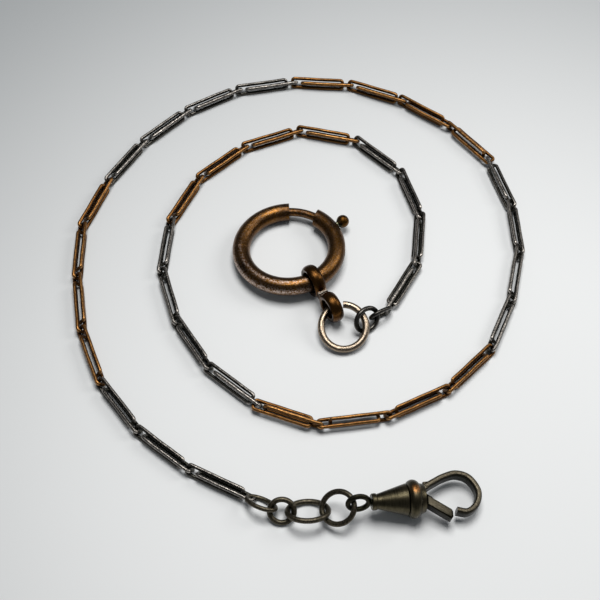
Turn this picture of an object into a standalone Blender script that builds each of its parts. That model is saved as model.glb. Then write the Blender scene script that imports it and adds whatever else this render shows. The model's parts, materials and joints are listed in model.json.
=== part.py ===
"""Pocket watch chain, laid out flat in a spiral: a bolt ring, a figure-of-eight shackle, a jump
ring, two small connecting links, 35 long links in two colours, four small rings and a swivel clip.

+Z is up and the chain lies on z = 0. The origin is at the centre of the footprint.
"""

from math import asin, cos, hypot, pi, radians, sin

import bmesh
import bpy
import numpy as np
from mathutils import Matrix, Vector

MM = 0.001

# Layout: plan positions below are in millimetres from a point near the middle of the spiral.
LAYOUT_CENTRE = (-0.09, 3.87)

# Route of the long links, from the bolt ring outwards.
ROUTE = [
    (13.15, -2.55), (18.0, 6.0), (19.0, 15.5), (16.0, 24.5), (9.0, 31.0), (-0.5, 33.0), (-9.0, 29.5),
    (-16.5, 22.5), (-20.5, 13.5), (-21.0, 4.0), (-18.0, -5.0), (-12.5, -13.0), (-5.5, -18.5),
    (3.5, -21.5), (13.0, -20.0), (21.0, -16.0), (28.0, -9.0), (32.0, 0.0), (34.0, 9.0),
    (33.5, 18.0), (31.0, 26.5), (25.5, 33.5), (18.5, 39.0), (10.0, 43.0), (0.0, 44.0),
    (-9.5, 42.5), (-18.0, 38.0), (-25.0, 31.5), (-30.5, 23.0), (-34.0, 14.0), (-34.0, 4.5),
    (-32.5, -5.0), (-29.0, -14.0), (-23.5, -21.5), (-15.5, -28.0), (-6.5, -32.5),
]

# Long links: each is two crossed ovals of wire, fused by two beads of solder.
LINKS = 35
PITCH = 9.62
SLACK = 0.45
SLACK_AT = (3, 11, 13, 18, 19, 20, 23)
COLOUR_RUN = 4
WIRE_R = 0.28
BAR_SPACING = 1.4
CORNER_R = 0.42
HOOKED_BY = 0.64
OVAL_OFFSET = 1.7
BEAD_R = 0.24

# Bolt ring: a tube bent round, with a mouth that a sprung bolt closes.
RING_CENTRE = (-1.69, 8.25)
RING_R = 7.35
RING_TUBE_R = 1.36
RING_LIFT = 1.0
RING_LIFT_DEG = -60
MOUTH_DEG = (55, 90)
BORE_R = 0.84
BORE_END_DEG = -75
SOCKET_DEG = 94.5
BOLT_R = 0.68
BOLT_DEG = (18, 93)
BOLT_TRAVEL_DEG = 40
STUD_DEG = 32
STUD_R = 1.0
STUD_REACH = 9.85
STEM_R = 0.28
STEM_HOLE_R = 0.36
SLOT_HALF = 0.42
SPRING_DEG = (-60, 16)
SPRING_R = 0.6
SPRING_WIRE_R = 0.09
SPRING_TURNS = 10

# Figure-of-eight shackle: two eyes in one upright plane.
SHACKLE_WIDTH = 1.8
EYE_1_R = (1.72, 2.55)
EYE_2_R = (1.5, 2.38)
EYE_1_AT = (0.16, 0.2)
EYE_SPACING = 5.25

# Swivel clip.
CLIP_START = (9.46, -34.07)
CLIP_PLAN_DEG = 7
CLIP_DROP_DEG = 6.5
COLLAR_R = 2.6
COLLAR_AT = 5.75
BARREL_END = 7.2
EYE_AT = -1.75
EYE_LEAN_DEG = 70
HOOK_LINE = [
    (7.55, 1.45), (8.9, 2.1), (10.3, 2.7), (12.1, 3.05), (13.8, 2.3), (14.7, 0.3), (14.1, -1.5),
    (12.7, -2.45), (11.25, -2.15),
]
HOOK_HALF_WIDTH = 0.475
HOOK_HALF_HEIGHT = 0.95
HOOK_BASE = [(7.35, 2.05), (7.35, 0.95), (7.8, 1.0), (8.6, 1.6), (8.4, 2.1)]
GATE_PIVOT = (6.75, 0.1)
GATE_DEG = -38
GATE_HALF_HEIGHT = 0.8
GATE_OUTLINE = [(0.45, 0.62), (4.37, 0.62), (4.95, -0.2), (4.87, -0.62), (1.2, -0.62)]
GATE_ROOT = [
    (1.5, 0.5), (0.2, 0.58), (-0.4, 0.42), (-0.58, 0), (-0.4, -0.42), (0.2, -0.58), (1.5, -0.5),
]
GATE_ROOT_HALF = 0.42
POCKET_LOW = (6.0, -1.15, -0.5)
POCKET_HIGH = (8.2, 1.05, 0.5)
PIN_R = 0.24
PIN_HOLE_R = 0.32
PIN_HALF_LENGTH = 1.9
LEAF_LINE = [(6.25, 0.9), (6.9, 0.88), (7.5, 0.62), (8.0, 0.25), (8.4, -0.05)]
LEAF_HALF_WIDTH = 0.05
LEAF_HALF_HEIGHT = 0.35


def at(x, y, z):
    """A layout position in millimetres as a point in metres."""
    return Vector((x - LAYOUT_CENTRE[0], y - LAYOUT_CENTRE[1], z)) * MM


def frame(origin, forward, up=(0, 0, 1)):
    """The placement whose X runs forward and whose Z leans towards up."""
    x = Vector(forward).normalized()
    y = Vector(up).cross(x).normalized()
    z = x.cross(y)
    placement = Matrix((x, y, z)).transposed().to_4x4()
    placement.translation = origin
    return placement


def material(name, colour, roughness, metallic=1.0):
    """A plain metal."""
    made = bpy.data.materials.new(name)
    made.use_nodes = True
    shader = made.node_tree.nodes["Principled BSDF"]
    shader.inputs["Base Color"].default_value = (*colour, 1)
    shader.inputs["Roughness"].default_value = roughness
    shader.inputs["Metallic"].default_value = metallic
    return made


def collection(name):
    made = bpy.data.collections.new(name)
    bpy.context.scene.collection.children.link(made)
    return made


def wire(name, points, radius, sides=6, closed=False):
    """A round wire along points given in millimetres, as a curve object."""
    data = bpy.data.curves.new(name, "CURVE")
    data.dimensions = "3D"
    data.bevel_depth = radius * MM
    data.bevel_resolution = (sides - 4) // 2
    data.use_fill_caps = not closed
    spline = data.splines.new("POLY")
    spline.points.add(len(points) - 1)
    for point, place in zip(spline.points, points):
        point.co = (*(Vector(place) * MM), 1)
    spline.use_cyclic_u = closed
    return linked(bpy.data.objects.new(name, data))


def plate(name, outline, half_thickness):
    """A flat plate, from an outline in millimetres."""
    data = bpy.data.curves.new(name, "CURVE")
    data.dimensions = "2D"
    data.fill_mode = "BOTH"
    data.extrude = half_thickness * MM
    spline = data.splines.new("POLY")
    spline.points.add(len(outline) - 1)
    for point, (x, y) in zip(spline.points, outline):
        point.co = (x * MM, y * MM, 0, 1)
    spline.use_cyclic_u = True
    return linked(bpy.data.objects.new(name, data))


def turned(name, profile, steps, closed=False):
    """A solid turned about Z, from (radius, height) pairs that run down its outer side."""
    mesh = bpy.data.meshes.new(name)
    form = bmesh.new()
    corners = [form.verts.new((r * MM, 0, z * MM)) for r, z in profile]
    for first, second in zip(corners, corners[1:]):
        form.edges.new((first, second))
    if closed:
        form.edges.new((corners[-1], corners[0]))
    form.to_mesh(mesh)
    form.free()
    made = linked(bpy.data.objects.new(name, mesh))
    screw = made.modifiers.new("turn", "SCREW")
    screw.steps = steps
    screw.render_steps = steps
    screw.use_merge_vertices = True
    screw.merge_threshold = 1e-6
    return made


def rod(name, radius, start, end, steps=8):
    """A round rod between two points in millimetres."""
    run = Vector(end) - Vector(start)
    half = run.length / 2
    made = turned(name, [(0, half), (radius, half), (radius, -half), (0, -half)], steps)
    middle = (Vector(start) + Vector(end)) / 2 * MM
    made.matrix_world = Matrix.Translation(middle) @ run.to_track_quat("Z", "Y").to_matrix().to_4x4()
    return made


def block(name, low, high):
    """A box between two corners in millimetres."""
    mesh = bpy.data.meshes.new(name)
    form = bmesh.new()
    bmesh.ops.create_cube(form, size=1)
    size = Vector(high) - Vector(low)
    bmesh.ops.scale(form, vec=size * MM, verts=form.verts)
    bmesh.ops.translate(form, vec=(Vector(high) + Vector(low)) / 2 * MM, verts=form.verts)
    form.to_mesh(mesh)
    form.free()
    return linked(bpy.data.objects.new(name, mesh))


def linked(made):
    PARTS.objects.link(made)
    return made


def settled(made):
    """The object as one plain mesh in its parent frame, with its curve or modifiers used up."""
    bpy.context.view_layer.update()
    graph = bpy.context.evaluated_depsgraph_get()
    name = made.name
    mesh = bpy.data.meshes.new_from_object(made.evaluated_get(graph))
    mesh.transform(made.matrix_world)
    form = bmesh.new()
    form.from_mesh(mesh)
    bmesh.ops.remove_doubles(form, verts=form.verts, dist=1e-6)
    bmesh.ops.recalc_face_normals(form, faces=form.faces)
    form.to_mesh(mesh)
    form.free()
    bpy.data.objects.remove(made)
    return linked(bpy.data.objects.new(name, mesh))


def combined(operation, first, *others):
    """The first solid with the others joined to it, or cut from it."""
    first = settled(first)
    for other in others:
        other = settled(other)
        PARTS.objects.unlink(other)
        CUTTERS.objects.link(other)
        other.hide_render = True
        other.display_type = "WIRE"
        boolean = first.modifiers.new(other.name, "BOOLEAN")
        boolean.operation = operation
        boolean.object = other
    return first


def used_up(made):
    """Applies the object's Booleans and removes the solids that they used."""
    tools = [modifier.object for modifier in made.modifiers if modifier.type == "BOOLEAN"]
    made = settled(made)
    for tool in tools:
        bpy.data.objects.remove(tool)
    return made


def joined(*solids):
    return used_up(combined("UNION", *solids))


def cut(*solids):
    return used_up(combined("DIFFERENCE", *solids))


def finish(made, name, metal, placement):
    """Names a solid, gives it its metal and moves it from its local frame to its place."""
    made.name = name
    made.data.name = name
    made.data.materials.clear()
    made.data.materials.append(metal)
    made.data.shade_smooth()
    made.data.set_sharp_from_angle(angle=radians(35))
    made.matrix_world = placement
    return made


def strip(line, half_width):
    """The outline of a strip that follows a line."""
    slopes = np.gradient(np.array(line), axis=0)
    across = np.stack([-slopes[:, 1], slopes[:, 0]], 1) / np.hypot(*slopes.T)[:, None]
    return np.vstack([line + half_width * across, (line - half_width * across)[::-1]])


def arc(radius, start, stop, step=10, height=0.0):
    """Points in millimetres round an arc given in degrees."""
    count = max(1, round(abs(stop - start) / step))
    angles = [radians(start + (stop - start) * i / count) for i in range(count + 1)]
    return [(radius * cos(a), radius * sin(a), height) for a in angles]


def oval(length, width, corner, per_corner=2, tilt=0.0):
    """A long loop in the plane of X and a cross direction turned by tilt degrees about X."""
    half_x, half_y = length / 2 - corner, width / 2 - corner
    points = []
    for quarter, (sx, sy) in enumerate(((1, 1), (-1, 1), (-1, -1), (1, -1))):
        for i in range(per_corner):
            turn = radians(90 * quarter + 90 * i / (per_corner - 1))
            x = sx * half_x + corner * cos(turn)
            y = sy * half_y + corner * sin(turn)
            points.append((x, y * cos(radians(tilt)), y * sin(radians(tilt))))
    return points


def ellipse(radius_x, radius_y, count=16):
    """Points of an upright loop about the local X and Y axes."""
    turns = [2 * pi * i / count for i in range(count)]
    return [(radius_x * cos(turn), radius_y * sin(turn), 0) for turn in turns]


def smooth(points, per_span):
    """Points of a curve that passes evenly through the given ones."""
    given = np.array(points, float)
    ends = np.vstack([2 * given[0] - given[1], given, 2 * given[-1] - given[-2]])
    t = np.linspace(0, 1, per_span, endpoint=False)[:, None]
    spans = []
    for a, b, c, d in zip(ends, ends[1:], ends[2:], ends[3:]):
        spans.append(
            b + t * (c - a) / 2 + t**2 * (a - 2.5 * b + 2 * c - d / 2)
            + t**3 * (1.5 * (b - c) + (d - a) / 2)
        )
    return np.vstack(spans + [given[-1:]])


# ---------------------------------------------------------------- the long links


def link_roll(number):
    """How far a link is turned about its own length, in degrees. Link 1 is next to the bolt ring."""
    turns = {1: 43, 2: 16, 12: -18, 13: -40, 14: -62, 15: -80, 20: -70, 21: -45, 22: -18}
    if 16 <= number <= 19:
        return -90
    return turns.get(number, 0)


def resting_height(number):
    """Height of a link's long axis when its lowest bars touch the table."""
    roll = link_roll(number)
    bars = [abs(sin(radians(side + roll))) for side in (45, 135)]
    return BAR_SPACING / 2 * max(bars) + WIRE_R


def hook_points():
    """The front and rear hooking points of each link, stepped along the route. Where a link hangs
    slack on the one ahead, its front point lies that much further forwards."""
    path = smooth(ROUTE, 200)
    beyond = path[-1] + (path[-1] - path[-5]) * np.arange(1, 60)[:, None]
    path = np.vstack([path, beyond])
    hooks = []
    front = 0
    for number in range(1, LINKS + 1):
        rear = front
        while hypot(*(path[rear] - path[front])) < PITCH:
            rear += 1
        hooks.append((path[front], path[rear]))
        front = rear
        slack = SLACK if number + 1 in SLACK_AT else 0
        while hypot(*(path[rear] - path[front])) < slack:
            front -= 1
    return hooks


def end_height(number):
    """Height of the joint at the front of a link, clear of the table on both sides of it."""
    beside = [n for n in (number - 1, number) if 1 <= n <= LINKS]
    return max(resting_height(n) for n in beside)


def link_mesh():
    """One long link: X runs forwards, and the origin is where it hooks into the link ahead."""
    length = PITCH + HOOKED_BY - OVAL_OFFSET
    rear_middle = -PITCH / 2 - OVAL_OFFSET / 2
    front_middle = -PITCH / 2 + OVAL_OFFSET / 2
    pieces = []
    for tilt, middle in ((-45, rear_middle), (45, front_middle)):
        loop = oval(length, BAR_SPACING, CORNER_R, tilt=tilt)
        pieces.append(wire("loop", [(x + middle, y, z) for x, y, z in loop], WIRE_R, closed=True))
    across = BAR_SPACING / 2
    for tilt, x in ((45, HOOKED_BY / 2 - OVAL_OFFSET), (-45, OVAL_OFFSET - PITCH - HOOKED_BY / 2)):
        y, z = across * cos(radians(tilt)), across * sin(radians(tilt))
        pieces.append(rod("bead", BEAD_R, (x, -y, -z), (x, y, z), steps=4))
    return joined(*pieces)


def make_links():
    pattern = link_mesh()
    grey_mesh = pattern.data
    copper_mesh = grey_mesh.copy()
    bpy.data.objects.remove(pattern)
    for number, (front, rear) in enumerate(hook_points(), start=1):
        front = at(*front, end_height(number))
        rear = at(*rear, end_height(number + 1))
        copper = (number - 1) // COLOUR_RUN % 2 == 1
        mesh = copper_mesh if copper else grey_mesh
        metal = COPPER if copper else GUNMETAL
        place = frame(front, front - rear) @ Matrix.Rotation(radians(-link_roll(number)), 4, "X")
        made = linked(bpy.data.objects.new("link", mesh))
        finish(made, f"link_{number:02d}", metal, place)
    grey_mesh.name = "grey_link"
    copper_mesh.name = "copper_link"


# ---------------------------------------------------------------- the bolt ring


def ring_frame():
    tilt = asin(RING_LIFT / (2 * RING_R))
    hinge = Vector((cos(radians(RING_LIFT_DEG + 90)), sin(radians(RING_LIFT_DEG + 90)), 0))
    height = RING_TUBE_R + RING_LIFT / 2
    return Matrix.Translation(at(*RING_CENTRE, height)) @ Matrix.Rotation(-tilt, 4, hinge)


def make_bolt_ring():
    place = ring_frame()
    tube = wire("tube", arc(RING_R, MOUTH_DEG[1], 360 + MOUTH_DEG[0]), RING_TUBE_R, sides=12)
    bore = wire("bore", arc(RING_R, BORE_END_DEG, MOUTH_DEG[0] + 5), BORE_R, sides=8)
    socket = wire("socket", arc(RING_R, MOUTH_DEG[1] - 5, SOCKET_DEG, step=4), BORE_R, sides=8)
    slot_ends = (STUD_DEG - BOLT_TRAVEL_DEG - 5, STUD_DEG + 4)
    inner = arc(RING_R + BORE_R / 2, *slot_ends)
    outer = arc(RING_R + RING_TUBE_R + 0.5, *slot_ends)
    slot = plate("slot", [(x, y) for x, y, _ in inner + outer[::-1]], SLOT_HALF)
    finish(cut(tube, bore, socket, slot), "bolt_ring_tube", BRONZE, place)

    along = Vector((cos(radians(STUD_DEG)), sin(radians(STUD_DEG)), 0))
    pin = wire("pin", arc(RING_R, *BOLT_DEG), BOLT_R, sides=8)
    hole = rod("hole", STEM_HOLE_R, along * (RING_R - 0.15), along * (RING_R + 1))
    finish(cut(pin, hole), "ring_bolt", BRONZE, place)

    stem = rod("stem", STEM_R, along * (RING_R + 0.1), along * STUD_REACH)
    mesh = bpy.data.meshes.new("ball")
    form = bmesh.new()
    bmesh.ops.create_uvsphere(form, u_segments=10, v_segments=7, radius=STUD_R * MM)
    form.to_mesh(mesh)
    form.free()
    ball = linked(bpy.data.objects.new("ball", mesh))
    ball.matrix_world = Matrix.Translation(along * STUD_REACH * MM)
    finish(joined(ball, stem), "bolt_stud", BRONZE, place)

    steps = SPRING_TURNS * 7
    coil = []
    for i in range(steps + 1):
        share = i / steps
        turn = 2 * pi * SPRING_TURNS * share
        angle = radians(SPRING_DEG[1] + (SPRING_DEG[0] - SPRING_DEG[1]) * share)
        reach = RING_R + SPRING_R * cos(turn)
        coil.append((reach * cos(angle), reach * sin(angle), SPRING_R * sin(turn)))
    spring = settled(wire("spring", coil, SPRING_WIRE_R, sides=4))
    finish(spring, "bolt_spring", STEEL, place)


# ---------------------------------------------------------------- shackle, jump ring, small links


def eye(name, radii, x, z):
    """One domed eye of the shackle, with its hole along Y."""
    inner, outer = radii
    half = SHACKLE_WIDTH / 2
    profile = [
        (outer - 0.3, half), (outer, half * 0.45), (outer, -half * 0.45), (outer - 0.3, -half),
        (inner + 0.12, -half), (inner, -half + 0.2), (inner, half - 0.2), (inner + 0.12, half),
    ]
    made = turned(name, profile, 18, closed=True)
    made.matrix_world = Matrix.Translation(Vector((x, 0, z)) * MM) @ Matrix.Rotation(pi / 2, 4, "X")
    return made


def make_shackle():
    away = Vector((cos(radians(RING_LIFT_DEG)), sin(radians(RING_LIFT_DEG)), 0))
    start = Vector((*RING_CENTRE, 0)) + RING_R * away
    place = frame(at(start.x, start.y, RING_TUBE_R + RING_LIFT), away)
    first = eye("first", EYE_1_R, *EYE_1_AT)
    drop = EYE_1_R[1] - EYE_2_R[1]
    second = eye("second", EYE_2_R, EYE_1_AT[0] + EYE_SPACING, EYE_1_AT[1] - drop)
    neck_low = (EYE_1_AT[0] + EYE_1_R[0] + 0.4, -SHACKLE_WIDTH / 2 + 0.1, -0.65)
    neck_high = (EYE_1_AT[0] + EYE_SPACING - EYE_2_R[0] - 0.4, SHACKLE_WIDTH / 2 - 0.1, 0.75)
    neck = block("neck", neck_low, neck_high)
    finish(joined(first, neck, second), "figure_eight_shackle", BRONZE, place)


def loop_link(name, metal, centre, radii, wire_r, heading, lean=0.0, pitch=0.0, count=16):
    """A plain wire ring or oval. Its long axis heads along heading, in degrees in plan, and rises
    by pitch degrees; lean turns it about that axis, positive to lift its left side."""
    turn = Matrix.Rotation(radians(heading), 4, "Z") @ Matrix.Rotation(radians(-pitch), 4, "Y")
    place = Matrix.Translation(at(*centre)) @ turn @ Matrix.Rotation(radians(lean), 4, "X")
    ring = settled(wire("ring", ellipse(*radii, count), wire_r, closed=True))
    return finish(ring, name, metal, place)


def make_small_links():
    loop_link("jump_ring", NICKEL, (6.42, -5.75, 1.62), (3.3, 3.45), 0.53, 0, lean=14, count=20)
    loop_link("connector_link_1", GUNMETAL, (9.89, -4.62, 1.78), (1.9, 1.65), 0.37, 41, lean=54, pitch=5)
    loop_link("connector_link_2", GUNMETAL, (12.0, -3.25, 1.45), (1.85, 1.1), 0.32, 35, lean=-74,
              pitch=-15)
    loop_link("end_ring_1", OLIVE, (-5.24, -33.41, 1.3), (2.18, 1.35), 0.32, -30, lean=-42, pitch=10)
    loop_link("end_ring_2", OLIVE, (-2.43, -34.51, 1.27), (1.65, 1.55), 0.38, 0, lean=32)
    loop_link("end_ring_3", OLIVE, (1.05, -34.65, 1.56), (2.75, 2.2), 0.38, 2, lean=-32)
    loop_link("end_ring_4", OLIVE, (5.05, -34.55, 2.45), (2.35, 2.15), 0.38, 1, lean=16, pitch=26)


# ---------------------------------------------------------------- the swivel clip


def clip_frame():
    """The clip's frame: X along the barrel from its small end, Z up."""
    along, drop = radians(CLIP_PLAN_DEG), radians(CLIP_DROP_DEG)
    forward = Vector((cos(along) * cos(drop), sin(along) * cos(drop), -sin(drop)))
    height = COLLAR_R + COLLAR_AT * sin(drop)
    return frame(at(*CLIP_START, height), forward)


def make_clip():
    place = clip_frame()
    lie_along = Matrix.Rotation(pi / 2, 4, "Y")

    profile = [
        (0, BARREL_END), (1.7, BARREL_END), (2.4, 6.5), (COLLAR_R, COLLAR_AT), (2.42, 5.05),
        (2.1, 4.8), (2.05, 4.6), (1.05, 0.8), (1.15, 0.55), (1.1, 0.0),
        (0.5, 0.0), (0.5, 0.6), (1.3, 1.9), (1.3, 5.6), (0, 5.6),
    ]
    barrel = turned("barrel", profile, 20)
    barrel.matrix_world = lie_along
    pocket = block("pocket", POCKET_LOW, POCKET_HIGH)
    px, py = GATE_PIVOT
    pin_hole = rod("pin_hole", PIN_HOLE_R, (px, py, -COLLAR_R), (px, py, COLLAR_R))
    finish(cut(barrel, pocket, pin_hole), "clip_barrel", OLIVE, place)

    ring = wire("ring", ellipse(1.4, 1.2, 14), 0.36, closed=True)
    ring.matrix_world = Matrix.Translation(Vector((EYE_AT, 0, 0)) * MM) @ Matrix.Rotation(
        radians(EYE_LEAN_DEG), 4, "X")
    shank = rod("shank", 0.36, (EYE_AT + 1.4, 0, 0), (2.6, 0, 0))
    head = rod("head", 0.8, (2.1, 0, 0), (2.6, 0, 0), steps=10)
    finish(joined(ring, shank, head), "swivel_eye", OLIVE, place)

    centre_line = smooth(HOOK_LINE, 3)
    band = plate("band", strip(centre_line, HOOK_HALF_WIDTH), HOOK_HALF_HEIGHT)
    base = plate("base", HOOK_BASE, HOOK_HALF_HEIGHT)
    finish(joined(band, base), "clip_hook", OLIVE, place)

    pivot = place @ Matrix.Translation(Vector((px, py, 0)) * MM)
    pin = rod("pin", PIN_R, (0, 0, -PIN_HALF_LENGTH), (0, 0, PIN_HALF_LENGTH))
    finish(settled(pin), "gate_pin", STEEL, pivot)

    swing = pivot @ Matrix.Rotation(radians(GATE_DEG), 4, "Z")
    bar = plate("bar", GATE_OUTLINE, GATE_HALF_HEIGHT)
    root = plate("root", GATE_ROOT, GATE_ROOT_HALF)
    bore = rod("bore", PIN_HOLE_R, (0, 0, -2), (0, 0, 2))
    finish(cut(joined(bar, root), bore), "clip_gate", OLIVE, swing)

    leaf = plate("leaf", strip(smooth(LEAF_LINE, 2), LEAF_HALF_WIDTH), LEAF_HALF_HEIGHT)
    finish(settled(leaf), "gate_spring", STEEL, place)


for old in list(bpy.data.objects):
    bpy.data.objects.remove(old)
PARTS = collection("pocket_watch_chain")
CUTTERS = collection("cutters")
CUTTERS.hide_render = True
GUNMETAL = material("gunmetal", (0.16, 0.15, 0.14), 0.35)
COPPER = material("copper_bronze", (0.42, 0.22, 0.09), 0.35)
BRONZE = material("dark_bronze", (0.2, 0.11, 0.05), 0.3)
NICKEL = material("nickel", (0.55, 0.5, 0.43), 0.25)
OLIVE = material("olive_bronze", (0.16, 0.13, 0.08), 0.35)
STEEL = material("spring_steel", (0.35, 0.35, 0.35), 0.3)
make_links()
make_bolt_ring()
make_shackle()
make_small_links()
make_clip()
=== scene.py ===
"""The looks of the pocket watch chain: fine wire, turned and bent pieces in worn metal, built
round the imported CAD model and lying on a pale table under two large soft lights."""

import json
from math import atan2, copysign, cos, pi, radians, sin

import bmesh
import bpy
import numpy as np
from mathutils import Matrix, Vector


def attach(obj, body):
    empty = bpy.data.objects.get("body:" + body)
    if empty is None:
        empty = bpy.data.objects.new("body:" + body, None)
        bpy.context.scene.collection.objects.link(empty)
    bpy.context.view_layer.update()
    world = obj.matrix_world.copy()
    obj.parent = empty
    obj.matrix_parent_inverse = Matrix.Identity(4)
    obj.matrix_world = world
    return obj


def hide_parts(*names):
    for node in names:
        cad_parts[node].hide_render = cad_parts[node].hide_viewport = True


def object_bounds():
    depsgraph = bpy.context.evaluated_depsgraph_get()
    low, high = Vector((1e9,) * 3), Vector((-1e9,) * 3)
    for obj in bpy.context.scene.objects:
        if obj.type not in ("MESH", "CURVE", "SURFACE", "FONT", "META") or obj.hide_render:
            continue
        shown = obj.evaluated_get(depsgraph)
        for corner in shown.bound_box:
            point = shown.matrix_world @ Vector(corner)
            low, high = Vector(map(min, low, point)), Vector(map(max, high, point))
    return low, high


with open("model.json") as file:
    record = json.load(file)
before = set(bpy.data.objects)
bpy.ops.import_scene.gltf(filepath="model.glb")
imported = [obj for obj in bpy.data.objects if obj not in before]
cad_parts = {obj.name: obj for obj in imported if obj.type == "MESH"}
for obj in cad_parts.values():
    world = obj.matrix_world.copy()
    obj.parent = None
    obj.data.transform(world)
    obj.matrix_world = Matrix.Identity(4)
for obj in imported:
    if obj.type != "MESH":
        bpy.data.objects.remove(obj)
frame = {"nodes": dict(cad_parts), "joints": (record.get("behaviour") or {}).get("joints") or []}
CAD_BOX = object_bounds()
MM = 0.001
WELD = 1e-7  # points closer than this, in metres, are one point

# Camera: the view's angle and distance, in degrees and millimetres.
CAMERA_AIM = (0.09, -3.87, 0.0)
CAMERA_ELEVATION = 57
CAMERA_DISTANCE = 173.86
CAMERA_FIELD = 29.24

# Long links, in millimetres.
LINKS = 35
COLOUR_RUN = 4
PITCH = 9.62
HOOKED_BY = 0.64
OVAL_OFFSET = 1.7
LINK_WIRE = 0.28
BAR_SPACING = 1.4
CORNER_R = 0.40
CORNER_STEPS = 7
BAR_STEPS = 9
BEAD_R = 0.25
BOW = 0.035
RIPPLE = 0.012
BOW_SPAN = 9.6
REAR_REACH = 0.9
CORNER_WEAR = 0.16

# Bolt ring, in millimetres and degrees round the ring.
RING_R = 7.35
RING_TUBE_R = 1.36
TUBE_SIDES = 40
RING_BORE_R = 0.84
MOUTH_START = 90
MOUTH_END = 55
MOUTH_SLANT = -5
BORE_END = -75
SOCKET_END = 94.5
BOLT_R = 0.66
BOLT_ARC = (18, 93)
SLOT_ARC = (-13, 36)
SLOT_HALF = 0.42
STUD_AT = 32
STUD_R = 1.0
STUD_REACH = 9.85
STEM_R = 0.3
STEM_COLLAR = 1.25

# Shackle: inner and outer radius of each eye, and where the eyes stand.
SHACKLE_HALF = 0.9
EYE_1 = (1.72, 2.55)
EYE_2 = (1.5, 2.38)
EYE_1_AT = (0.16, 0.2)
EYE_SPACING = 5.25
DOME_DROP = 0.34
NECK_LOW = -0.62
NECK_HIGH = 0.95
NECK_WAIST = 0.72
NECK_OVERLAP = 0.4

# Rings: their wires, and where the jump ring's cut is and how wide, in degrees.
JUMP_WIRE = 0.53
JUMP_CUT = (96, 11)
CONNECTOR_WIRES = (0.37, 0.32)
END_RING_WIRES = (0.32, 0.38, 0.38, 0.38)

# Table: the brightest point of the pool of light painted on it and how far from there the painted
# light fades, in metres, and its painted lit and shaded colours.
TABLE_HALF = 1.5
TABLE_GAP = 0.00002
LIGHT_POOL_AT = (0.025, -0.035, 0)
FADE = (0.03, 0.145)
TABLE_LIT = (0.87, 0.89, 0.905)
TABLE_SHADED = (0.34, 0.36, 0.375)

# Lights: their size and places in metres, power in watts and colour.
LIGHT_SIZE = 0.2
OVERHEAD = ((0.02, 0.09, 0.40), 1.32, (1.0, 0.985, 0.96))
WINDOW = ((0.35, 0.12, 0.28), 0.52, (1.0, 0.98, 0.95))
ROOM_COLOUR = (0.9, 0.95, 1.0, 1)
ROOM_STRENGTH = 0.11

# Metal: how far the residue and painted shade of a recess reach and how deep its scratches are, in
# millimetres.
RECESS_REACH = 2.6
RELIEF_DEPTH = 0.06

# Swivel clip: outlines are in the clip's or the gate's own frame, in millimetres.
COLLAR_R = 2.6
COLLAR_AT = 5.7
COLLAR_ROUND = 0.92
BARREL_END = 7.2
GATE_POCKET = [(6.0, -1.15), (8.2, -1.15), (8.2, 1.05), (6.0, 1.05)]
GATE_POCKET_HALF = 0.5
HOOK_LINE = [
    (7.55, 1.45), (8.9, 2.1), (10.3, 2.7), (12.1, 3.05), (13.8, 2.3), (14.7, 0.3), (14.1, -1.5),
    (12.7, -2.45), (11.25, -2.15),
]
HOOK_HALF_WIDTH = 0.475
HOOK_HALF_HEIGHT = 0.95
HOOK_SLIMMING = 0.93
HOOK_BASE = [(7.25, 2.05), (7.25, 0.95), (7.7, 1.0), (8.6, 1.6), (8.4, 2.1)]
GATE_DEG = -38
GATE_TIP_FROM = 4.35
GATE_BAR = [
    (0.5, 0.62), (4.3, 0.62), (4.6, 0.42), (4.95, -0.15), (4.93, -0.5), (4.8, -0.62),
    (1.25, -0.62),
]
GATE_ROOT = [
    (1.5, 0.48), (0.2, 0.58), (-0.4, 0.42), (-0.58, 0), (-0.4, -0.42), (0.2, -0.58), (1.5, -0.5),
]
SWIVEL_EYE = (1.4, 1.2)
SWIVEL_WIRE = 0.36
SWIVEL_EYE_AT = -1.75
SWIVEL_LEAN_DEG = 70
SHANK = [(0, 2.6), (0.8, 2.6), (0.8, 2.1), (0.36, 2.05), (0.36, -0.4), (0, -0.4)]


# ---------------------------------------------------------------- meshes


def linked(name, data):
    made = bpy.data.objects.new(name, data)
    bpy.context.scene.collection.objects.link(made)
    return made


def mesh_from(name, points, faces):
    """An object from points in millimetres."""
    mesh = bpy.data.meshes.new(name)
    mesh.from_pydata([tuple(Vector(p) * MM) for p in points], [], faces)
    mesh.update()
    return linked(name, mesh)


def swept(name, line, radius, sides=14, closed=False, squash=(1.0, 1.0), up=(0, 0, 1),
          square=1.0):
    """A wire along a line in millimetres. squash scales its section along and across up, and a
    square under 1 makes the section a rounded rectangle."""
    line = np.array(line, float)
    count = len(line)
    if closed:
        ahead, behind = np.roll(line, -1, 0), np.roll(line, 1, 0)
    else:
        ahead = np.vstack([line[1:], 2 * line[-1] - line[-2]])
        behind = np.vstack([2 * line[0] - line[1], line[:-1]])
    tangents = ahead - behind
    tangents /= np.linalg.norm(tangents, axis=1)[:, None]
    radii = np.broadcast_to(np.array(radius, float), (count,))
    points = []
    for place, tangent, reach in zip(line, tangents, radii):
        side = np.cross(tangent, up)
        side /= np.linalg.norm(side)
        top = np.cross(side, tangent)
        for step in range(sides):
            turn = 2 * pi * step / sides
            flank = copysign(abs(cos(turn)) ** square, cos(turn)) * squash[1]
            crest = copysign(abs(sin(turn)) ** square, sin(turn)) * squash[0]
            points.append(place + reach * (flank * side + crest * top))
    faces = []
    for ring in range(count if closed else count - 1):
        first, second = ring * sides, (ring + 1) % count * sides
        for step in range(sides):
            other = (step + 1) % sides
            faces.append((first + step, first + other, second + other, second + step))
    if not closed:
        faces.append(tuple(range(sides))[::-1])
        faces.append(tuple(range((count - 1) * sides, count * sides)))
    return recalculated(mesh_from(name, points, faces))


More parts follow.
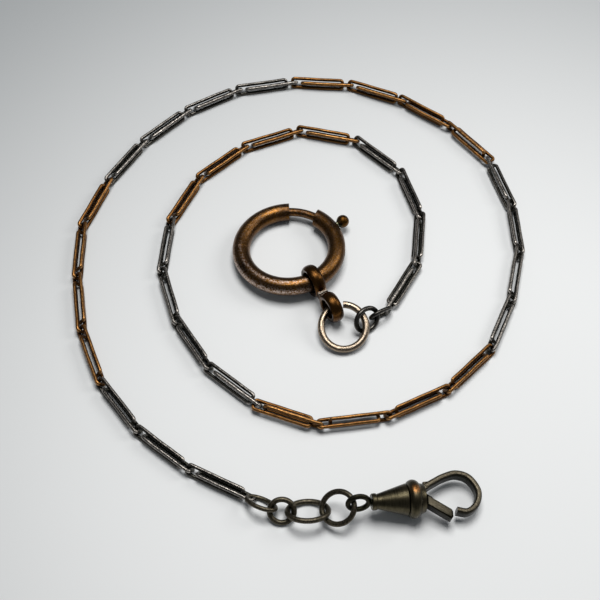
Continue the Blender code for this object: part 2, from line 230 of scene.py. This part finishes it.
def recalculated(made, weld=False):
    """The solid with its faces turned outwards, and coincident points made one if weld is set."""
    form = bmesh.new()
    form.from_mesh(made.data)
    if weld:
        bmesh.ops.remove_doubles(form, verts=form.verts, dist=WELD)
    bmesh.ops.recalc_face_normals(form, faces=form.faces)
    form.to_mesh(made.data)
    form.free()
    return made


def turned(name, profile, steps, closed=False):
    """A solid turned about Z, from (radius, height) pairs in millimetres."""
    points, faces = [], []
    count = len(profile)
    for step in range(steps):
        turn = 2 * pi * step / steps
        points += [(r * cos(turn), r * sin(turn), z) for r, z in profile]
    for step in range(steps):
        first, second = step * count, (step + 1) % steps * count
        for i in range(count if closed else count - 1):
            j = (i + 1) % count
            faces.append((first + i, second + i, second + j, first + j))
    return recalculated(mesh_from(name, points, faces), weld=True)


def ball(name, radius, centre, stretch=(1, 1, 1)):
    mesh = bpy.data.meshes.new(name)
    form = bmesh.new()
    bmesh.ops.create_uvsphere(form, u_segments=28, v_segments=18, radius=radius * MM)
    bmesh.ops.scale(form, vec=stretch, verts=form.verts)
    bmesh.ops.translate(form, vec=Vector(centre) * MM, verts=form.verts)
    form.to_mesh(mesh)
    form.free()
    return linked(name, mesh)


def plate(name, outline, half_thickness, bevel=0.0, segments=3):
    """A flat plate with rounded edges, from an outline in millimetres."""
    form = bmesh.new()
    low = [form.verts.new((x * MM, y * MM, -half_thickness * MM)) for x, y in outline]
    high = [form.verts.new((x * MM, y * MM, half_thickness * MM)) for x, y in outline]
    form.faces.new(low[::-1])
    form.faces.new(high)
    rims = []
    for i in range(len(outline)):
        j = (i + 1) % len(outline)
        form.faces.new((low[i], low[j], high[j], high[i]))
        rims += [(low[i], low[j]), (high[i], high[j])]
    bmesh.ops.recalc_face_normals(form, faces=form.faces)
    if bevel:
        edges = [form.edges.get(pair) for pair in rims]
        bmesh.ops.bevel(form, geom=edges, offset=bevel * MM, segments=segments, profile=0.5,
                        affect="EDGES", clamp_overlap=True)
    mesh = bpy.data.meshes.new(name)
    form.to_mesh(mesh)
    form.free()
    return linked(name, mesh)


def placed(made, placement):
    """Moves the mesh itself, in its local frame."""
    made.data.transform(placement)
    return made


def boolean(operation, first, *others):
    """The first solid with the others joined to it, or cut from it."""
    for other in others:
        modifier = first.modifiers.new(other.name, "BOOLEAN")
        modifier.operation = operation
        modifier.object = other
    bpy.context.view_layer.update()
    graph = bpy.context.evaluated_depsgraph_get()
    mesh = bpy.data.meshes.new_from_object(first.evaluated_get(graph))
    first.modifiers.clear()
    first.data = mesh
    for other in others:
        bpy.data.objects.remove(other)
    return first


def joined(*solids):
    return boolean("UNION", *solids)


def cut(*solids):
    return boolean("DIFFERENCE", *solids)


def coordinates(mesh):
    found = np.zeros(len(mesh.vertices) * 3, np.float32)
    mesh.vertices.foreach_get("co", found)
    return found.reshape(-1, 3).astype(float)


def reshape(made, local):
    """Moves the mesh's points to places given in millimetres."""
    made.data.vertices.foreach_set("co", (local * MM).astype(np.float32).ravel())


def peak(values, middle, width, power=2):
    """1 at the middle, falling to nothing either side of it; a higher power flattens the top."""
    return np.exp(-((values - middle) / width) ** power)


def rubbed_at(local, spot, spread):
    """1 at a spot, falling to nothing round it. spread is in square millimetres."""
    return np.exp(-((local - np.array(spot)) ** 2).sum(1) / spread)


def marked(made, grain=None, wear_and_highlight=None):
    """Stores on each point its place in the grain, in millimetres, and how worn it is; on the
    clip's hook and gate that value is a painted highlight.
    """
    mesh = made.data
    local = coordinates(mesh) / MM
    runs = local if grain is None else grain(local)
    layer = mesh.attributes.new("grain", "FLOAT_VECTOR", "POINT")
    layer.data.foreach_set("vector", np.ascontiguousarray(runs, np.float32).ravel())
    # real wear, and on the clip's hook and gate a painted highlight
    worn = np.zeros(len(local)) if wear_and_highlight is None else wear_and_highlight(local)
    layer = mesh.attributes.new("wear_and_highlight", "FLOAT", "POINT")
    layer.data.foreach_set("value", np.clip(worn, 0, 1).astype(np.float32))
    return made


def finish(made, name, metal, body, placement, nodes=(), sharp=35):
    """Puts a piece in its place on its body, smooth shaded, in the stead of CAD nodes."""
    made.name = name
    made.data.name = name
    made.data.materials.clear()
    made.data.materials.append(metal)
    if "grain" not in made.data.attributes:
        marked(made)
    made.data.shade_smooth()
    made.data.set_sharp_from_angle(angle=radians(sharp))
    made.matrix_world = placement
    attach(made, body)
    if nodes:
        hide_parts(*nodes)
    return made


def arc(radius, start, stop, step=3):
    count = max(2, round(abs(stop - start) / step))
    turns = [radians(start + (stop - start) * i / count) for i in range(count + 1)]
    return [(radius * cos(t), radius * sin(t), 0.0) for t in turns]


def smooth(points, per_span):
    """Points of a curve that passes evenly through the given ones."""
    given = np.array(points, float)
    ends = np.vstack([2 * given[0] - given[1], given, 2 * given[-1] - given[-2]])
    t = np.linspace(0, 1, per_span, endpoint=False)[:, None]
    spans = []
    for a, b, c, d in zip(ends, ends[1:], ends[2:], ends[3:]):
        spans.append(
            b + t * (c - a) / 2 + t**2 * (a - 2.5 * b + 2 * c - d / 2)
            + t**3 * (1.5 * (b - c) + (d - a) / 2)
        )
    return np.vstack(spans + [given[-1:]])


# ---------------------------------------------------------------- materials


def node(tree, kind, **settings):
    made = tree.nodes.new(kind)
    for name, value in settings.items():
        setattr(made, name, value)
    return made


def noise(tree, source, scale, detail, roughness=0.5):
    made = node(tree, "ShaderNodeTexNoise")
    made.inputs["Scale"].default_value = scale
    made.inputs["Detail"].default_value = detail
    made.inputs["Roughness"].default_value = roughness
    tree.links.new(source, made.inputs["Vector"])
    return made.outputs["Fac"]


def mapped(tree, source, turn, scale):
    made = node(tree, "ShaderNodeMapping")
    made.inputs["Rotation"].default_value = turn
    made.inputs["Scale"].default_value = scale
    tree.links.new(source, made.inputs["Vector"])
    return made.outputs["Vector"]


def ranged(tree, source, low, high, to_low, to_high):
    made = node(tree, "ShaderNodeMapRange")
    made.inputs["From Min"].default_value = low
    made.inputs["From Max"].default_value = high
    made.inputs["To Min"].default_value = to_low
    made.inputs["To Max"].default_value = to_high
    tree.links.new(source, made.inputs["Value"])
    return made.outputs["Result"]


def computed(tree, operation, *terms, clamp=False):
    """A sum or product of terms, each a number or another node's output."""
    made = node(tree, "ShaderNodeMath", operation=operation, use_clamp=clamp)
    for socket, term in zip(made.inputs, terms):
        if isinstance(term, float):
            socket.default_value = term
        else:
            tree.links.new(term, socket)
    return made.outputs["Value"]


def ramp(tree, source, low, low_colour, high, high_colour):
    made = node(tree, "ShaderNodeValToRGB")
    stops = ((low, low_colour), (high, high_colour))
    for element, (place, colour) in zip(made.color_ramp.elements, stops):
        element.position = place
        element.color = (*colour, 1)
    tree.links.new(source, made.inputs["Fac"])
    return made


def mixed(tree, factor, first, second):
    """A blend of two colours, each an (r, g, b) or another node's output."""
    made = node(tree, "ShaderNodeMix", data_type="RGBA")
    tree.links.new(factor, made.inputs["Factor"])
    for socket, colour in zip((made.inputs[6], made.inputs[7]), (first, second)):
        if isinstance(colour, tuple):
            socket.default_value = (*colour, 1)
        else:
            tree.links.new(colour, socket)
    return made.outputs[2]


def metal(slot, name, dark, middle, bright, roughness, hollow_residue_and_shade=(0.004, 0.003, 0.002), flecks=0.5):
    """Worn, oxidised metal: streaks along the wire, blotches, bright worn places and painted
    highlights broken up by flecks, and residue and painted shade darkening the recesses."""
    made = bpy.data.materials.new(name)
    made.use_nodes = True
    made["slot"] = slot
    tree = made.node_tree
    shader = tree.nodes["Principled BSDF"]
    shader.inputs["Metallic"].default_value = 1.0
    shader.inputs["Specular IOR Level"].default_value = 0.5

    grain = node(tree, "ShaderNodeAttribute", attribute_name="grain").outputs["Vector"]
    wear_and_highlight = node(tree, "ShaderNodeAttribute", attribute_name="wear_and_highlight").outputs["Fac"]
    place = node(tree, "ShaderNodeTexCoord").outputs["Object"]

    along = mapped(tree, grain, (0.0, 0.0, radians(4)), (0.45, 5.0, 5.0))
    streak = noise(tree, along, 1.0, 6.0, 0.65)
    diagonal = mapped(tree, grain, (0.3, 0.2, radians(38)), (1.5, 16.0, 9.0))
    scratch = noise(tree, diagonal, 1.0, 3.0)
    blotch = noise(tree, place, 420.0, 5.0, 0.6)
    fleck = noise(tree, place, 4200.0, 3.0)

    blend = computed(tree, "MULTIPLY_ADD", blotch, 0.6, -0.05)
    blend = computed(tree, "MULTIPLY_ADD", streak, 0.55, blend)
    tone = ramp(tree, blend, 0.36, dark, 0.68, middle).outputs["Color"]
    rough_wear = ranged(tree, fleck, 0.42, 0.6, 1 - flecks, 1 + flecks)
    # wear, and the highlight painted on the clip, broken up by flecks
    rubbed_and_highlit = computed(tree, "MULTIPLY", wear_and_highlight, rough_wear, clamp=True)
    worn = mixed(tree, rubbed_and_highlit, tone, bright)

    # residue and painted shade: the colour is pulled towards the hollow colour wherever ambient
    # occlusion finds a recess
    recess = node(tree, "ShaderNodeAmbientOcclusion", samples=8)
    recess.inputs["Distance"].default_value = RECESS_REACH * MM
    out_of_recess = ranged(tree, recess.outputs["AO"], 0.15, 0.85, 0.12, 1.0)
    tree.links.new(mixed(tree, out_of_recess, hollow_residue_and_shade, worn), shader.inputs["Base Color"])

    gloss = ranged(tree, blend, 0.3, 0.8, roughness + 0.16, roughness - 0.05)
    tree.links.new(gloss, shader.inputs["Roughness"])

    relief = node(tree, "ShaderNodeBump")
    relief.inputs["Strength"].default_value = 0.35
    relief.inputs["Distance"].default_value = RELIEF_DEPTH * MM
    tree.links.new(computed(tree, "ADD", streak, scratch), relief.inputs["Height"])
    tree.links.new(relief.outputs["Normal"], shader.inputs["Normal"])
    return made


GUNMETAL = metal("gunmetal", "oxidised_gunmetal", (0.006, 0.006, 0.006), (0.075, 0.071, 0.064),
                 (0.5, 0.46, 0.42), 0.22, hollow_residue_and_shade=(0.014, 0.016, 0.005))
COPPER = metal("copper_bronze", "worn_copper_bronze", (0.016, 0.006, 0.002), (0.19, 0.082, 0.024),
               (0.46, 0.235, 0.08), 0.27, hollow_residue_and_shade=(0.008, 0.004, 0.001))
BRONZE = metal("dark_bronze", "dark_bronze", (0.014, 0.006, 0.002), (0.17, 0.074, 0.013),
               (0.5, 0.4, 0.35), 0.25, hollow_residue_and_shade=(0.006, 0.003, 0.001), flecks=1.0)
STUD_METAL = metal("dark_bronze", "stud_bronze", (0.014, 0.006, 0.002), (0.17, 0.074, 0.013),
                   (0.3, 0.31, 0.2), 0.27)
NICKEL = metal("nickel", "worn_nickel", (0.03, 0.016, 0.007), (0.25, 0.18, 0.115),
               (0.5, 0.42, 0.33), 0.22, flecks=0.3)
OLIVE = metal("olive_bronze", "olive_bronze", (0.008, 0.008, 0.005), (0.05, 0.046, 0.03),
              (0.24, 0.2, 0.15), 0.33, hollow_residue_and_shade=(0.014, 0.016, 0.004))
# painted shade: a darker copy of olive bronze, so that the hook's and gate's sides stay near-black
# as if in shade
HOOK_BRONZE_SHADED = metal("olive_bronze", "hook_bronze_painted_shade", (0.004, 0.004, 0.003), (0.016, 0.015, 0.01),
                   (0.13, 0.112, 0.08), 0.3, hollow_residue_and_shade=(0.004, 0.005, 0.002), flecks=0.25)
SHACKLE_METAL = metal("dark_bronze", "shackle_bronze", (0.012, 0.005, 0.002), (0.14, 0.062, 0.016),
                      (0.5, 0.47, 0.42), 0.22, flecks=0.2)
BARREL_METAL = metal("olive_bronze", "barrel_bronze", (0.01, 0.009, 0.005), (0.1, 0.085, 0.052),
                     (0.6, 0.25, 0.07), 0.3, hollow_residue_and_shade=(0.03, 0.032, 0.006))
STEEL = metal("spring_steel", "spring_steel", (0.1, 0.1, 0.1), (0.3, 0.3, 0.3),
              (0.6, 0.6, 0.6), 0.3)


# ---------------------------------------------------------------- places read from the frame


def joint(name):
    return next(j for j in frame["joints"] if j["name"] == name)


def basis(origin, x, z):
    """The placement whose X runs along x and whose Z leans towards z."""
    x = Vector(x).normalized()
    y = Vector(z).cross(x).normalized()
    placement = Matrix((x, y, x.cross(y))).transposed().to_4x4()
    placement.translation = Vector(origin)
    return placement


def spread(points):
    """The three directions of a set of points, from the longest to the shortest."""
    centred = points - points.mean(0)
    return np.linalg.svd(centred, full_matrices=False)[2]


def link_place(name):
    """A link's middle, its direction and the plane of its rear oval."""
    points = coordinates(frame["nodes"][name].data)
    middle = (points.min(0) + points.max(0)) / 2
    along = spread(points)[0]
    ahead = Vector(joint(f"{name}_hinge")["pos_m"])
    if (ahead - Vector(middle)).dot(Vector(along)) < 0:
        along = -along
    reach = points @ along
    middle = middle + along * ((reach.min() + reach.max()) / 2 - middle @ along)
    rear = points[reach < reach.min() + REAR_REACH * MM]
    rear = rear - rear.mean(0)
    rear = rear - np.outer(rear @ along, along)
    across = spread(rear)[0]
    return basis(middle, along, Vector(across)) @ Matrix.Rotation(radians(45), 4, "X")


def loop_place(name):
    """A loop's middle and plane, and half its length and width over the wire, in millimetres."""
    points = coordinates(frame["nodes"][name].data)
    middle = (points.min(0) + points.max(0)) / 2
    long, _, normal = spread(points)
    if normal[2] < 0:
        normal = -normal
    placement = basis(middle, long, Vector(normal))
    local = (points - middle) @ np.array(placement.to_3x3())
    placement.translation += placement.to_3x3() @ Vector((local.max(0) + local.min(0)) / 2)
    halves = (local.max(0) - local.min(0)) / 2 / MM
    return placement, halves


# ---------------------------------------------------------------- the long links


def oval(length, width, corner, tilt, shift):
    """The line of a long loop of wire: straight bars, tight corners and nearly straight ends."""
    half_x, half_y = length / 2 - corner, width / 2 - corner
    flat = []
    for quarter, (sx, sy) in enumerate(((1, 1), (-1, 1), (-1, -1), (1, -1))):
        for i in range(CORNER_STEPS):
            turn = radians(90 * quarter + 90 * i / (CORNER_STEPS - 1))
            flat.append((sx * half_x + corner * cos(turn), sy * half_y + corner * sin(turn)))
    full = []
    for (ax, ay), (bx, by) in zip(flat, flat[1:] + flat[:1]):
        steps = BAR_STEPS if abs(ax - bx) > half_x else 1
        full += [(ax + (bx - ax) * i / steps, ay + (by - ay) * i / steps) for i in range(steps)]
    c, s = cos(radians(tilt)), sin(radians(tilt))
    return [(x + shift, y * c, y * s) for x, y in full]


def link_pattern():
    length = PITCH + HOOKED_BY - OVAL_OFFSET
    half = OVAL_OFFSET / 2
    slope = sin(radians(45))
    loops = []
    for name, tilt, shift, side in (("rear", -45, -half, slope), ("front", 45, half, -slope)):
        line = oval(length, BAR_SPACING, CORNER_R, tilt, shift)
        loops.append(swept(name, line, LINK_WIRE, closed=True, up=(0, side, cos(radians(45)))))
    inside = length / 2 - half
    beads = []
    for tilt, x in ((-45, inside), (45, -inside)):
        bead = ball("bead", BEAD_R, (0, 0, 0), (0.9, BAR_SPACING * 1.3, 1.0))
        turn = Matrix.Rotation(radians(tilt), 4, "X")
        beads.append(placed(bead, Matrix.Translation(Vector((x, 0, 0)) * MM) @ turn))
    return joined(*loops, *beads)


def link_wear(local):
    """Bright where the wire is bent, at the ovals' corners, and rubbed on the outside."""
    length = PITCH + HOOKED_BY - OVAL_OFFSET
    half, reach = OVAL_OFFSET / 2, BAR_SPACING / 2 + LINK_WIRE * 0.5
    out = np.hypot(local[:, 1], local[:, 2])
    worn = np.clip((out - BAR_SPACING / 2 - 0.08) / LINK_WIRE, 0, 1) * 0.55
    for tilt, shift in ((-45, -half), (45, half)):
        for end in (-1, 1):
            for side in (-1, 1):
                spot = (
                    shift + end * (length / 2 + LINK_WIRE * 0.3),
                    side * reach * cos(radians(tilt)), side * reach * sin(radians(tilt)),
                )
                worn = np.maximum(worn, rubbed_at(local, spot, CORNER_WEAR))
    return worn


def make_links():
    pattern = link_pattern()
    base = pattern.data
    random = np.random.default_rng(7)
    for number in range(1, LINKS + 1):
        name = f"link_{number:02d}"
        made = linked(name + "_wire", base.copy())
        local = coordinates(made.data) / MM
        bow = random.normal(0, BOW, 4)
        shape = np.cos(local[:, 0] / BOW_SPAN * pi)
        local[:, 1] += bow[0] * shape + RIPPLE * np.sin(local[:, 0] * 1.7 + bow[2] * 60)
        local[:, 2] += bow[1] * shape + RIPPLE * np.sin(local[:, 0] * 1.3 + bow[3] * 60)
        reshape(made, local)
        start = number * 13.0
        marked(made, grain=lambda p: p + np.array((start, 0, 0)), wear_and_highlight=link_wear)
        copper = (number - 1) // COLOUR_RUN % 2 == 1
        paint = COPPER if copper else GUNMETAL
        finish(made, name + "_wire", paint, name, link_place(name), [name])
    bpy.data.objects.remove(pattern)


# ---------------------------------------------------------------- the bolt ring


def ring_place():
    turn = joint("bolt_slide_round")
    axis = Vector(turn["axis"])
    upright = Vector((0, 0, 1)).rotation_difference(axis).to_matrix().to_4x4()
    return Matrix.Translation(Vector(turn["pos_m"])) @ upright


def ring_grain(local):
    """Along the tube and round it."""
    around = np.arctan2(local[:, 1], local[:, 0])
    out = np.hypot(local[:, 0], local[:, 1]) - RING_R
    return np.stack([around * RING_R, out * 1.4, local[:, 2] * 1.4], 1)


def ring_wear(local):
    """Rubbed along the outer side and the crest of the part opposite the mouth."""
    around = np.degrees(np.arctan2(local[:, 1], local[:, 0]))
    out = np.hypot(local[:, 0], local[:, 1]) - RING_R
    rise = np.degrees(np.arctan2(local[:, 2], out))
    around = np.where(around > 90, around - 360, around)
    near = peak(around, -125, 58, 4)
    return 0.6 * peak(rise, 14, 20) * near + 0.3 * peak(rise, 84, 9) * near + 0.04


def slant_mouth(tube):
    """Turns the tube's last ring of points, so that its end leans."""
    local = coordinates(tube.data) / MM
    last = slice(-TUBE_SIDES, None)
    x, y = local[last, 0].copy(), local[last, 1].copy()
    lean = -np.radians(MOUTH_SLANT / 2) * (np.hypot(x, y) - RING_R) / RING_TUBE_R
    local[last, 0] = x * np.cos(lean) - y * np.sin(lean)
    local[last, 1] = x * np.sin(lean) + y * np.cos(lean)
    reshape(tube, local)


def make_bolt_ring():
    place = ring_place()
    line = arc(RING_R, MOUTH_START, 360 + MOUTH_END, step=2.5)
    tube = swept("tube", line, RING_TUBE_R, sides=TUBE_SIDES)
    slant_mouth(tube)
    bore = swept("bore", arc(RING_R, BORE_END, MOUTH_END + 8), RING_BORE_R, sides=24)
    socket_line = arc(RING_R, MOUTH_START - 5, SOCKET_END, step=2)
    socket = swept("socket", socket_line, RING_BORE_R, sides=24)
    outline = arc(RING_R + 0.4, *SLOT_ARC, step=4) + arc(RING_R + 2, *SLOT_ARC, step=4)[::-1]
    slot = plate("slot", [(x, y) for x, y, _ in outline], SLOT_HALF)
    case = cut(tube, bore, socket, slot)
    marked(case, ring_grain, ring_wear)
    finish(case, "bolt_ring_case", BRONZE, "root", place, ["bolt_ring_tube"], sharp=40)

    bolt = swept("bolt", arc(RING_R, *BOLT_ARC), BOLT_R, sides=24)
    marked(bolt, ring_grain, lambda p: np.full(len(p), 0.06))
    finish(bolt, "ring_bolt_pin", BRONZE, "bolt", place, ["ring_bolt"])

    along = np.array((cos(radians(STUD_AT)), sin(radians(STUD_AT)), 0.0))
    foot = RING_R + 0.2
    stem_line = [along * (foot + (STUD_REACH - foot) * i / 8) for i in range(9)]
    stem_radii = [STEM_R * (STEM_COLLAR if i in (4, 5) else 1) for i in range(9)]
    stem = swept("stem", stem_line, stem_radii, sides=16)
    knob = ball("knob", STUD_R, along * STUD_REACH)
    stud = joined(knob, stem)

    def neck_wear(local):
        return peak(np.linalg.norm(local, axis=1), STUD_REACH - 1.15, 0.45, 4)

    marked(stud, wear_and_highlight=neck_wear)
    finish(stud, "bolt_thumb_stud", STUD_METAL, "bolt", place, ["bolt_stud"])


# ---------------------------------------------------------------- the shackle


def eye(radii, x, z):
    """One domed eye, with its hole along Y."""
    inner, outer = radii
    dome = []
    for i in range(13):
        share = -1 + 2 * i / 12
        drop = DOME_DROP * abs(share) ** 2.6
        dome.append((outer - drop, -share * SHACKLE_HALF))
    bore = [
        (inner + 0.16, -SHACKLE_HALF), (inner + 0.04, -SHACKLE_HALF + 0.06),
        (inner, -SHACKLE_HALF + 0.18), (inner, SHACKLE_HALF - 0.18),
        (inner + 0.04, SHACKLE_HALF - 0.06), (inner + 0.16, SHACKLE_HALF),
    ]
    made = turned("eye", dome + bore, 72, closed=True)
    spot = Matrix.Translation(Vector((x, 0, z)) * MM)
    return placed(made, spot @ Matrix.Rotation(pi / 2, 4, "X"))


def make_shackle():
    hinge = joint("shackle_hinge")
    axis = Vector(hinge["axis"])
    away = Vector((axis.y, -axis.x, 0))
    place = basis(hinge["pos_m"], away, (0, 0, 1))
    drop = EYE_1[1] - EYE_2[1]
    first = eye(EYE_1, *EYE_1_AT)
    second = eye(EYE_2, EYE_1_AT[0] + EYE_SPACING, EYE_1_AT[1] - drop)
    low = EYE_1_AT[0] + EYE_1[0] + NECK_OVERLAP
    high = EYE_1_AT[0] + EYE_SPACING - EYE_2[0] - NECK_OVERLAP
    waist = (low + high) / 2
    outline = [(low, NECK_LOW), (high, NECK_LOW), (high, NECK_HIGH), (waist, NECK_WAIST),
               (low, NECK_HIGH)]
    neck = plate("neck", outline, SHACKLE_HALF - 0.14, bevel=0.1)
    placed(neck, Matrix.Rotation(pi / 2, 4, "X"))
    made = joined(first, neck, second)
    middle = waist + 0.1

    def seam(local):
        return peak(local[:, 0], middle, 0.13, 4) * (local[:, 2] > 0.2)

    def round_eye(local):
        centre = np.where(local[:, 0] < middle, EYE_1_AT[0], EYE_1_AT[0] + EYE_SPACING)
        along, up = local[:, 0] - centre, local[:, 2]
        return np.stack([np.arctan2(up, along) * 2, local[:, 1], np.hypot(along, up)], 1)

    marked(made, round_eye, seam)
    finish(made, "figure_eight_band", SHACKLE_METAL, "shackle", place, ["figure_eight_shackle"])


# ---------------------------------------------------------------- the rings and ovals


def make_loop(name, metal, wire_r, body, gap=None, wear_and_highlight=0.25):
    """A loop of wire in its CAD node's place. gap is a cut's direction in plan and its width,
    both in degrees."""
    place, halves = loop_place(name)
    reach_x, reach_y = halves[0] - wire_r, halves[1] - wire_r
    if gap:
        bearing = Vector((cos(radians(gap[0])), sin(radians(gap[0])), 0))
        towards = place.to_3x3().inverted() @ bearing
        middle, half = atan2(towards.y, towards.x), radians(gap[1] / 2)
        turns = np.linspace(middle + half, middle + 2 * pi - half, 97)
    else:
        turns = np.linspace(0, 2 * pi, 96, endpoint=False)
    line = [(reach_x * cos(t), reach_y * sin(t), 0) for t in turns]
    made = swept(name, line, wire_r, sides=20, closed=not gap)

    def round_loop(local):
        turn = np.arctan2(local[:, 1], local[:, 0])
        out = np.hypot(local[:, 0], local[:, 1])
        return np.stack([turn * reach_x + len(name), out, local[:, 2]], 1)

    marked(made, round_loop, lambda p: np.full(len(p), wear_and_highlight))
    return finish(made, name + "_wire", metal, body, place, [name])


def make_small_links():
    make_loop("jump_ring", NICKEL, JUMP_WIRE, "jump_ring", gap=JUMP_CUT, wear_and_highlight=0.4)
    for number, wire_r in enumerate(CONNECTOR_WIRES, 1):
        name = f"connector_link_{number}"
        make_loop(name, GUNMETAL, wire_r, f"connector_{number}", wear_and_highlight=0.05)
    for number, wire_r in enumerate(END_RING_WIRES, 1):
        make_loop(f"end_ring_{number}", OLIVE, wire_r, f"end_ring_{number}")


# ---------------------------------------------------------------- the swivel clip


def clip_place():
    swivel = joint("clip_swivel")
    return basis(swivel["pos_m"], swivel["axis"], (0, 0, 1))


def gate_place(place):
    """The clip's frame, moved to the gate's pin and turned along the gate."""
    pin = place.inverted() @ Vector(joint("gate_hinge")["pos_m"])
    pin.z = 0
    return place @ Matrix.Translation(pin) @ Matrix.Rotation(radians(GATE_DEG), 4, "Z")


def barrel_profile():
    """Radius and distance from the small end, from the large end back to the small one."""
    outer = [(0, BARREL_END), (1.55, BARREL_END), (1.9, BARREL_END - 0.05)]
    for i in range(15):
        turn = radians(62 - 150 * i / 14)
        out = COLLAR_R - COLLAR_ROUND + COLLAR_ROUND * cos(turn)
        outer.append((out, COLLAR_AT + COLLAR_ROUND * sin(turn)))
    outer += [(2.14, 4.72), (2.1, 4.62), (2.05, 4.4)]
    outer += [(2.05 - 1.03 * i / 8, 4.4 - 3.6 * i / 8) for i in range(1, 9)]
    outer += [(1.03, 0.7), (1.12, 0.6), (1.14, 0.4), (1.12, 0.12), (1.02, 0.0)]
    return outer + [(0.55, 0.0), (0.5, 0.1), (0.5, 0.6), (1.3, 1.9), (1.3, 5.6), (0, 5.6)]


def lengthways(local):
    """The barrel's grain: round it and along it."""
    around = np.arctan2(local[:, 2], local[:, 1]) * 2
    return np.stack([around, local[:, 0], local[:, 0] * 0], 1)


def barrel_wear(local):
    """One bright spot on the collar."""
    return rubbed_at(local, (COLLAR_AT, COLLAR_R * 0.2, COLLAR_R * 0.95), 0.2)


def top_highlight(local):
    """A highlight painted along the top, strongest at the highest points."""
    return np.clip((local[:, 2] - 0.62) / 0.34, 0, 1) ** 1.5 * 0.8


def make_clip():
    place = clip_place()
    lying = Matrix.Rotation(pi / 2, 4, "Y")
    barrel = placed(turned("barrel", barrel_profile(), 72), lying)
    barrel = cut(barrel, plate("pocket", GATE_POCKET, GATE_POCKET_HALF))
    marked(barrel, lengthways, barrel_wear)
    finish(barrel, "clip_barrel_body", BARREL_METAL, "clip", place, ["clip_barrel"], sharp=30)

    hook_line = np.array([(x, y, 0) for x, y in smooth(HOOK_LINE, 8)])
    slimming = np.linspace(1.0, HOOK_SLIMMING, len(hook_line))
    band = swept("band", hook_line, slimming, sides=36, squash=(HOOK_HALF_HEIGHT, HOOK_HALF_WIDTH),
                 square=0.62)
    base = plate("base", HOOK_BASE, HOOK_HALF_HEIGHT - 0.08, bevel=0.12)
    hook = joined(band, base)
    # painted highlight along the hook's top
    marked(hook, wear_and_highlight=top_highlight)
    finish(hook, "clip_hook_bar", HOOK_BRONZE_SHADED, "clip", place, ["clip_hook"], sharp=50)

    bar = plate("bar", GATE_BAR, 0.8, bevel=0.42, segments=7)
    root = plate("root", GATE_ROOT, 0.42, bevel=0.05, segments=2)
    gate = joined(bar, root)
    # painted highlight along the gate's top, left off the tip so that the tip facet stays dark as
    # painted shade
    marked(gate, wear_and_highlight=lambda p: top_highlight(p) * (p[:, 0] < GATE_TIP_FROM))
    swing = gate_place(place)
    finish(gate, "clip_gate_bar", HOOK_BRONZE_SHADED, "gate", swing, ["clip_gate"], sharp=50)

    turns = [2 * pi * i / 64 for i in range(64)]
    ring_line = [(SWIVEL_EYE[0] * cos(t), SWIVEL_EYE[1] * sin(t), 0) for t in turns]
    ring = swept("ring", ring_line, SWIVEL_WIRE, sides=18, closed=True)
    lean = Matrix.Rotation(radians(SWIVEL_LEAN_DEG), 4, "X")
    placed(ring, Matrix.Translation(Vector((SWIVEL_EYE_AT, 0, 0)) * MM) @ lean)
    shank = placed(turned("shank", SHANK, 32), lying)
    made = joined(ring, shank)
    finish(made, "swivel_eye_ring", OLIVE, "swivel_eye", place, ["swivel_eye"])


# ---------------------------------------------------------------- table, light and camera


def make_stage():
    mesh = bpy.data.meshes.new("table")
    form = bmesh.new()
    bmesh.ops.create_grid(form, x_segments=1, y_segments=1, size=TABLE_HALF)
    form.to_mesh(mesh)
    form.free()
    table = linked("table", mesh)
    table.location.z = CAD_BOX[0][2] - TABLE_GAP
    paint = bpy.data.materials.new("pale_table")
    paint.use_nodes = True
    tree = paint.node_tree
    shader = tree.nodes["Principled BSDF"]
    shader.inputs["Roughness"].default_value = 0.6
    shader.inputs["Specular IOR Level"].default_value = 0.2
    # painted pool of light: the table's colour runs from the lit colour near its brightest point
    # to the shaded colour further out
    reach = node(tree, "ShaderNodeVectorMath", operation="DISTANCE")
    reach.inputs[1].default_value = LIGHT_POOL_AT
    tree.links.new(node(tree, "ShaderNodeTexCoord").outputs["Object"], reach.inputs[0])
    tone = ramp(tree, reach.outputs["Value"], FADE[0], TABLE_LIT, FADE[1], TABLE_SHADED)
    tone.color_ramp.interpolation = "EASE"
    tree.links.new(tone.outputs["Color"], shader.inputs["Base Color"])
    mesh.materials.append(paint)


def light(name, place, power, colour):
    """A square lamp that faces the middle of the table."""
    data = bpy.data.lights.new(name, "AREA")
    data.shape = "RECTANGLE"
    data.size = LIGHT_SIZE
    data.size_y = LIGHT_SIZE
    data.energy = power
    data.color = colour
    made = linked(name, data)
    made.location = place
    made.rotation_euler = (-Vector(place)).to_track_quat("-Z", "Y").to_euler()


def make_lights():
    light("overhead", *OVERHEAD)
    light("window", *WINDOW)
    world = bpy.data.worlds.new("room")
    bpy.context.scene.world = world
    world.use_nodes = True
    sky = world.node_tree.nodes["Background"]
    sky.inputs["Color"].default_value = ROOM_COLOUR
    sky.inputs["Strength"].default_value = ROOM_STRENGTH


def make_camera():
    rise = radians(CAMERA_ELEVATION)
    aim = Vector(CAMERA_AIM) * MM
    data = bpy.data.cameras.new("camera")
    data.angle = radians(CAMERA_FIELD)
    data.clip_start = 0.01
    made = linked("camera", data)
    made.location = aim + Vector((0, -cos(rise), sin(rise))) * CAMERA_DISTANCE * MM
    made.rotation_euler = (aim - made.location).to_track_quat("-Z", "Y").to_euler()
    bpy.context.scene.camera = made
    bpy.context.scene.view_settings.view_transform = "Standard"


make_camera()
make_lights()
make_stage()
make_links()
make_bolt_ring()
make_shackle()
make_small_links()
make_clip()
for hidden, material in (("bolt_spring", STEEL), ("gate_spring", STEEL), ("gate_pin", OLIVE)):
    frame["nodes"][hidden].data.materials.clear()
    frame["nodes"][hidden].data.materials.append(material)
